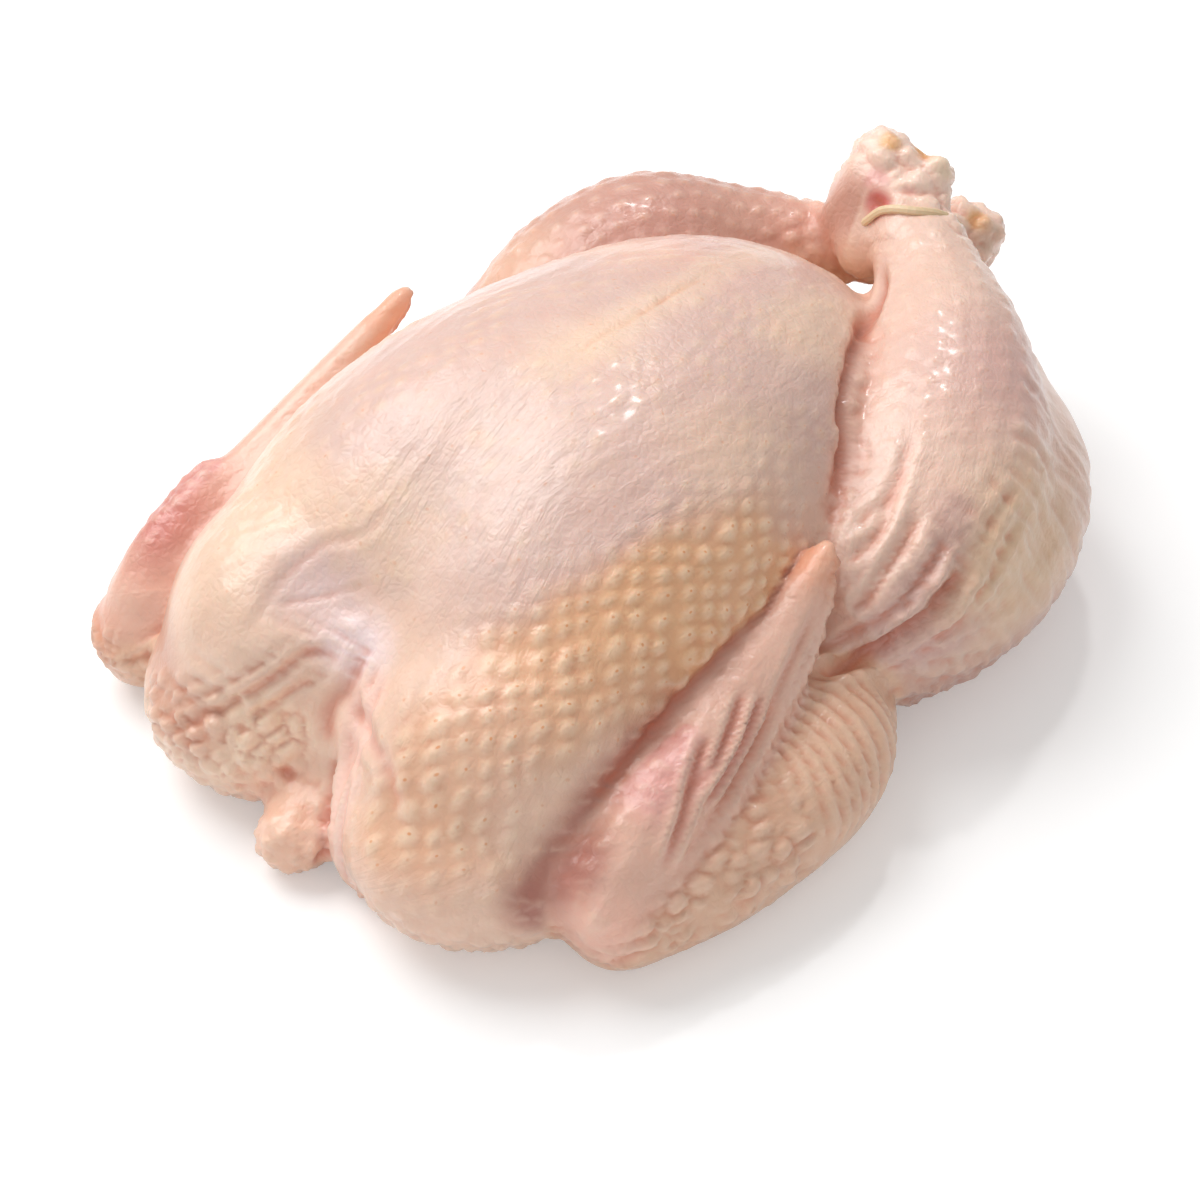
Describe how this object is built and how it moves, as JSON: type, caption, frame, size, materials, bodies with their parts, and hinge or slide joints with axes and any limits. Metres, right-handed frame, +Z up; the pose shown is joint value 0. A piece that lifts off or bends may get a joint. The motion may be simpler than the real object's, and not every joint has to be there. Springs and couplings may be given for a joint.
{
  "type": "whole raw chicken",
  "caption": "Whole raw chicken lying on its back, breast up, wings folded along the sides and hocks crossed and tied with a thin rubber band.",
  "frame": {"origin": "on the surface the bird lies on, under the middle of its box", "axes": "+Y from the neck to the tail, +X to the bird's right side, +Z up through the breast"},
  "size_m": [0.196, 0.2658, 0.0916],
  "materials": {
    "skin": "moist raw poultry skin, cream to peach with lilac where the meat shows through, softly glossy",
    "band": "plain natural rubber band"
  },
  "bodies": {
    "root": {"chicken": "skin", "hock_band": "band"}
  },
  "joints": []
}
